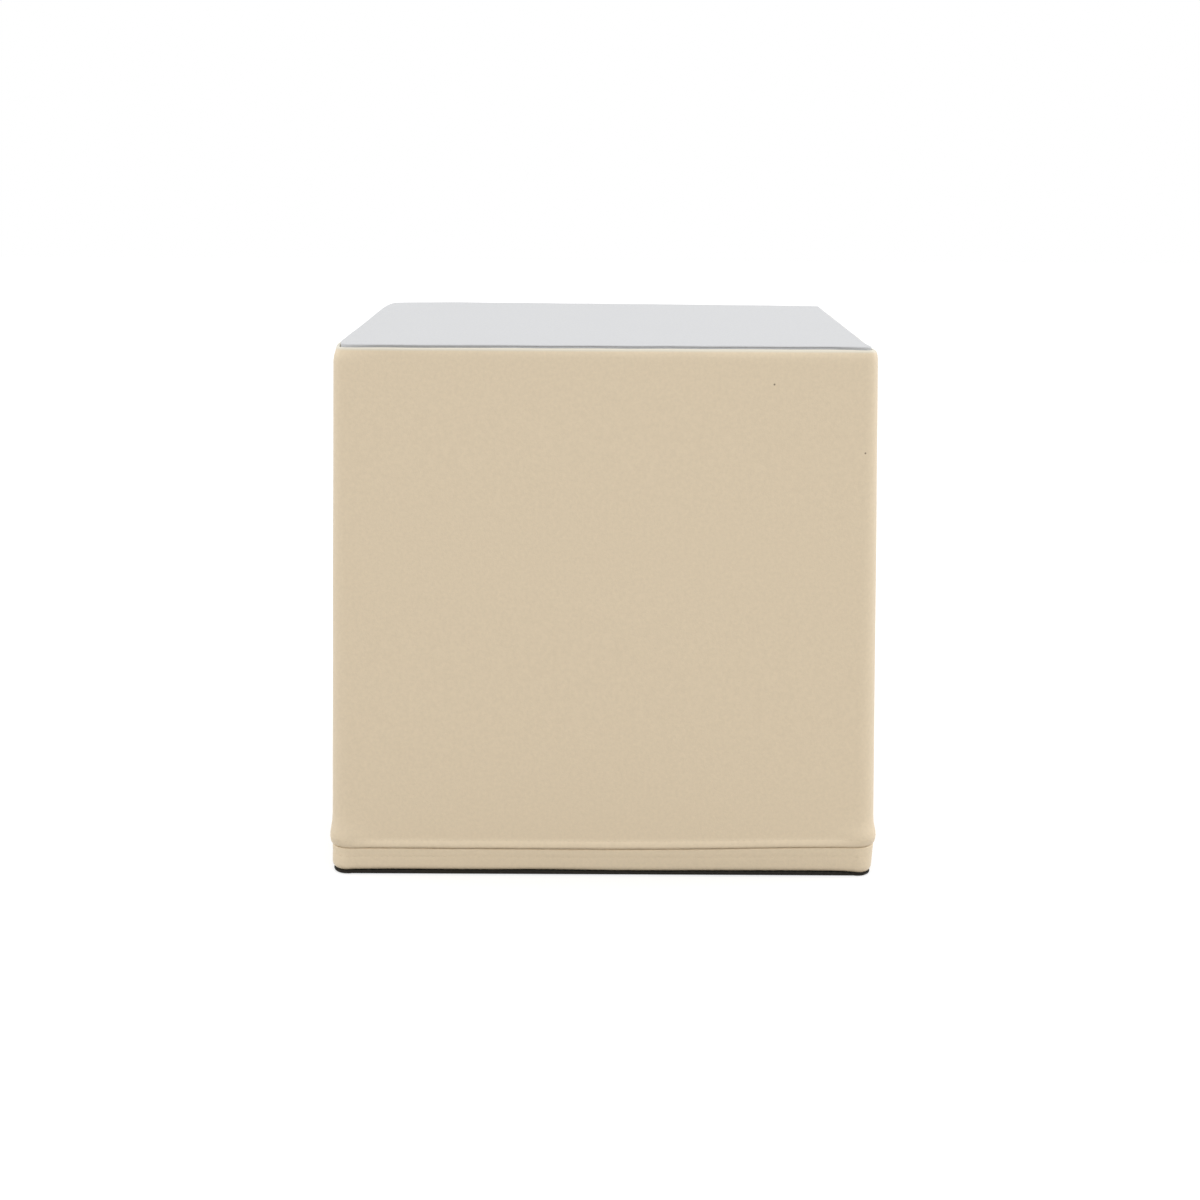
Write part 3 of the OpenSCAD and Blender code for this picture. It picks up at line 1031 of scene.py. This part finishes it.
class PLAYCUBE_OT_top_panel(bpy.types.Operator):
    """Sews the grey top: a flat square whose edges turn down behind the wrap's top fold"""

    bl_idname = "playcube.top_panel"
    bl_label = "Top panel"

    def execute(self, context):
        s, e = context.scene.playcube_sizes, context.scene.playcube_ease
        p = layout(s)
        seam_u, seam_z = p.top_edge_u + s.top_undercut, p.top_edge_z - s.top_undercut
        section = Section("top_panel_cover", s, seam_u, p.top_allowance_z)
        for share in TOP_EDGE_SHARES:
            section.lead(seam_u, p.top_allowance_z + share * (seam_z - p.top_allowance_z))
        section.lead(p.top_edge_u, p.top_edge_z)
        section.fold(p.top_flat_u, p.top_edge_z, -pi / 2)
        section.lead(s.corner_r, s.height)
        piece = section.carry_round()
        split_long_edges(piece, s)
        fill_middle(s, s.height)
        ease_points(piece, top_rule(s, e))
        thicken(piece, s.cloth_t)
        material = leatherette("Pale grey leatherette", context.scene.playcube_colours.grey)
        dress(piece, material, "top_panel")
        return {"FINISHED"}


class PLAYCUBE_OT_lower_band(bpy.types.Operator):
    """Sews the narrow beige band between the zip line and the base"""

    bl_idname = "playcube.lower_band"
    bl_label = "Lower band"

    def execute(self, context):
        s, e = context.scene.playcube_sizes, context.scene.playcube_ease
        p = layout(s)
        section = Section("lower_band_cover", s, p.hem_depth, p.band_hem_z)
        section.lead(p.hem_depth, p.band_fold_z)
        section.fold(p.band_fold_r, p.band_fold_z, pi)
        for rise in BAND_RISES:
            section.lead(0, p.stitch_z + rise)
        section.lead(0, p.band_roll_z)
        section.fold(s.band_roll_r, p.band_roll_z, pi / 2)
        section.lead(s.band_roll_r + s.flat_allowance, BAND_LOW.z)
        piece = section.carry_round()
        split_long_edges(piece, s)
        ease_points(piece, band_rule(s, e))
        thicken(piece, s.cloth_t)
        material = bpy.data.materials["Beige leatherette"]
        dress(piece, material, "lower_band")
        return {"FINISHED"}


class PLAYCUBE_OT_base_panel(bpy.types.Operator):
    """Sews the dark anti-slip base, folded back on itself along its edge"""

    bl_idname = "playcube.base_panel"
    bl_label = "Base panel"

    def execute(self, context):
        s, e = context.scene.playcube_sizes, context.scene.playcube_ease
        p = layout(s)
        section = Section("base_panel_cover", s, p.base_fold_u + s.flat_allowance, BASE_HIGH.z)
        section.lead(p.base_fold_u, BASE_HIGH.z)
        section.fold(p.base_fold_u, p.base_fold_r, pi)
        section.lead(s.corner_r, 0)
        piece = section.carry_round()
        split_long_edges(piece, s)
        fill_middle(s, 0)
        ease_points(piece, base_rule(s, e))
        thicken(piece, s.base_t)
        material = anti_slip_cloth("Anti-slip cloth", context.scene.playcube_colours.near_black)
        dress(piece, material, "base_panel")
        return {"FINISHED"}


class PLAYCUBE_OT_stitches(bpy.types.Operator):
    """Sews the two rows of stitches that hold the zip, one in the hem's crease and one on the band"""

    bl_idname = "playcube.stitches"
    bl_label = "Stitches"

    def execute(self, context):
        s, e = context.scene.playcube_sizes, context.scene.playcube_ease
        p = layout(s)
        thread = sewing_thread("Sewing thread", context.scene.playcube_colours.beige)
        self.row("hem_stitches", s, p.crease_z, wrap_rule(s, e), thread)
        self.row("band_stitches", s, p.stitch_z, band_rule(s, e), thread)
        return {"FINISHED"}

    def one_stitch(self, s):
        """A length of thread that rises out of the cloth, runs along it and dips back in."""
        clear_selection()
        bpy.ops.mesh.primitive_circle_add(
            vertices=THREAD_SIDES, radius=s.thread_t / 2, rotation=(0, pi / 2, 0))
        stitch = bpy.context.object
        bpy.ops.object.transform_apply(location=False, rotation=True, scale=False)
        bpy.ops.object.mode_set(mode="EDIT")
        bpy.ops.mesh.select_mode(type="VERT")
        bpy.ops.mesh.select_all(action="SELECT")
        bpy.ops.transform.translate(value=(-s.stitch_l / 2, 0, 0))
        for _ in range(STITCH_STEPS):
            step = (s.stitch_l / STITCH_STEPS, 0, 0)
            bpy.ops.mesh.extrude_region_move(TRANSFORM_OT_translate={"value": step})
        bpy.ops.object.mode_set(mode="OBJECT")
        for point in stitch.data.vertices:
            point.co.y += STITCH_DIP_SHARE * s.thread_t * (2 * point.co.x / s.stitch_l) ** 2
        bpy.ops.object.shade_smooth()
        return stitch

    def row(self, name, s, z, rule, material):
        """Copies the stitch along the four sides and round the upright edges, on the eased cloth."""
        stitch = self.one_stitch(s)
        copies = []
        for place, turn in outline(s, s.stitch_pitch):
            spot = Vector((place.x, place.y, z))
            copy = bpy.data.objects.new(name, stitch.data.copy())
            copy.data.transform(Matrix.Translation(spot + rule(spot)) @ Matrix.Rotation(turn, 4, "Z"))
            bpy.context.collection.objects.link(copy)
            copies.append(copy)
        bpy.data.objects.remove(stitch)
        clear_selection()
        for copy in copies:
            copy.select_set(True)
        piece = copies[0]
        bpy.context.view_layer.objects.active = piece
        bpy.ops.object.join()
        name_piece(piece, name)
        cover_with(piece, material)
        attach(piece, BODY)


class PLAYCUBE_OT_foam_block(bpy.types.Operator):
    """Cuts the foam block that fills the cover, pressed back where the seams and the zip lie"""

    bl_idname = "playcube.foam_block"
    bl_label = "Foam block"

    def execute(self, context):
        s, e = context.scene.playcube_sizes, context.scene.playcube_ease
        p = layout(s)
        edge_z = FOAM_HIGH.z - s.foam_edge_r
        section = Section("foam_block_soft", s, s.corner_r, FOAM_LOW.z)
        section.lead(s.foam_press, FOAM_LOW.z)
        section.lead(s.foam_press, p.crease_z + s.hem_allowance)
        section.lead(s.foam_gap, p.crease_z + 2 * s.hem_allowance)
        section.lead(s.foam_gap, p.top_allowance_z - s.hem_allowance)
        section.lead(s.foam_top_press, p.top_allowance_z)
        section.lead(s.foam_top_press, edge_z)
        section.fold(s.foam_top_press + s.foam_edge_r, edge_z, -pi / 2)
        section.lead(s.corner_r, FOAM_HIGH.z)
        piece = section.carry_round()
        split_long_edges(piece, s)
        fill_middle(s, FOAM_LOW.z)
        fill_middle(s, FOAM_HIGH.z)
        ease_points(piece, foam_rule(s, e))
        face_outwards(piece)
        cover_with(piece, cut_foam("Cut foam", context.scene.playcube_colours.foam))
        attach(piece, BODY)
        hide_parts("foam_block")
        return {"FINISHED"}


class PLAYCUBE_OT_zip_finishes(bpy.types.Operator):
    """Gives the zip, which the cover hides, its finishes"""

    bl_idname = "playcube.zip_finishes"
    bl_label = "Zip finishes"

    def execute(self, context):
        colours = context.scene.playcube_colours
        tape = woven_tape("Zip tape", colours.tape)
        finishes = {
            "zip_upper_tape": tape,
            "zip_lower_tape": tape,
            "zip_coil": nylon_coil("Nylon coil", colours.tape),
        }
        for name, material in finishes.items():
            for slot in bpy.data.objects[name].material_slots:
                slot.material = material
        return {"FINISHED"}


class PLAYCUBE_PT_panel(bpy.types.Panel):
    """Sizes, soft forms, colours, studio and steps of the play cube"""

    bl_idname = "PLAYCUBE_PT_panel"
    bl_label = "Play cube"
    bl_space_type = "VIEW_3D"
    bl_region_type = "UI"
    bl_category = "Play cube"

    def draw(self, context):
        for group, kind in GROUPS.items():
            box = self.layout.box()
            for name in kind.__annotations__:
                box.prop(getattr(context.scene, group), name)
        for operator in OPERATORS:
            self.layout.operator(operator.bl_idname)


GROUPS = {
    "playcube_sizes": PlayCubeSizes,
    "playcube_ease": PlayCubeEase,
    "playcube_colours": PlayCubeColours,
    "playcube_studio": PlayCubeStudio,
}
OPERATORS = (
    PLAYCUBE_OT_studio,
    PLAYCUBE_OT_side_wrap,
    PLAYCUBE_OT_top_panel,
    PLAYCUBE_OT_lower_band,
    PLAYCUBE_OT_base_panel,
    PLAYCUBE_OT_stitches,
    PLAYCUBE_OT_foam_block,
    PLAYCUBE_OT_zip_finishes,
)


def register():
    for name, group in GROUPS.items():
        bpy.utils.register_class(group)
        setattr(bpy.types.Scene, name, PointerProperty(type=group))
    for kind in (*OPERATORS, PLAYCUBE_PT_panel):
        bpy.utils.register_class(kind)


def unregister():
    for kind in (PLAYCUBE_PT_panel, *reversed(OPERATORS)):
        bpy.utils.unregister_class(kind)
    for name, group in reversed(GROUPS.items()):
        delattr(bpy.types.Scene, name)
        bpy.utils.unregister_class(group)


def main():
    register()
    bpy.ops.playcube.studio()
    bpy.ops.playcube.side_wrap()
    bpy.ops.playcube.top_panel()
    bpy.ops.playcube.lower_band()
    bpy.ops.playcube.base_panel()
    bpy.ops.playcube.stitches()
    bpy.ops.playcube.foam_block()
    bpy.ops.playcube.zip_finishes()


if __name__ == "__main__":
    main()
